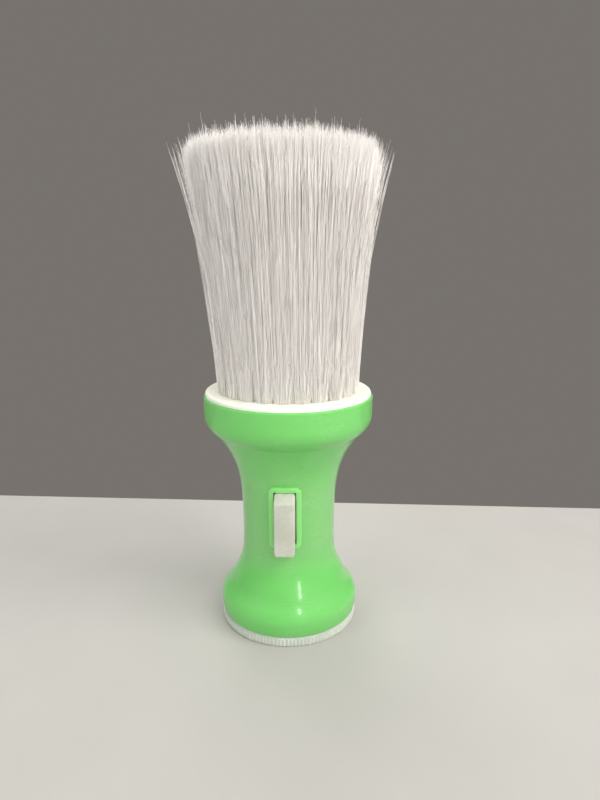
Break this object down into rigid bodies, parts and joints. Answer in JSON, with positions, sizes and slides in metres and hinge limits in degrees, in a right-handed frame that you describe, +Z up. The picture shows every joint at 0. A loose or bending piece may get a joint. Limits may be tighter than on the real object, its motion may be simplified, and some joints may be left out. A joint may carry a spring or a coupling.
{
  "type": "neck duster brush with talc dispenser",
  "caption": "Barber's neck duster: a flared tufted brush head on a waisted handle that holds talc, with a slide switch for the outlet and a knurled screw-off base cap.",
  "frame": {"origin": "centre of the foot, the underside of the base cap", "axes": "+Z up along the brush's axis to the bristle tips; the slide switch faces -Y; +X to the right as seen from the switch"},
  "size_m": [0.0678, 0.0678, 0.18],
  "materials": {
    "green_shell": "glossy moulded, slightly translucent",
    "white_plate": "satin moulded",
    "bristle": "fine soft filaments",
    "staple_steel": "drawn wire",
    "seal_rubber": "soft, matt",
    "white_button": "satin moulded",
    "white_tube": "satin moulded",
    "white_cap": "satin moulded, knurled"
  },
  "bodies": {
    "handle": {"handle_shell": "green_shell", "brush_plate": "white_plate", "outlet_sleeve": "white_plate", "outlet_sifter": "white_plate", "tufts_outer": "bristle", "tufts_middle": "bristle", "tufts_inner": "bristle", "tuft_staples": "staple_steel", "sleeve_seal": "seal_rubber"},
    "slider": {"slide_button": "white_button", "talc_tube": "white_tube", "valve_stem": "white_tube", "valve_plug": "seal_rubber", "tube_wiper": "seal_rubber"},
    "cap_seal": {"cap_gasket": "seal_rubber"},
    "cap": {"base_cap": "white_cap"}
  },
  "joints": [
    {"name": "switch_slide", "type": "slide", "parent": "handle", "child": "slider", "axis": [0, 0, -1], "range_m": [0, 0.006]},
    {"name": "cap_lift", "type": "slide", "parent": "handle", "child": "cap_seal", "axis": [0, 0, -1], "range_m": [0, 0.012]},
    {"name": "cap_turn", "type": "hinge", "parent": "cap_seal", "child": "cap", "pos_m": [0, 0, 0], "axis": [0, 0, -1], "range_deg": [0, 1080]}
  ],
  "couplings": [
    {"joint": "cap_turn", "follows": "cap_lift", "rad_per_m": 1570.8}
  ]
}
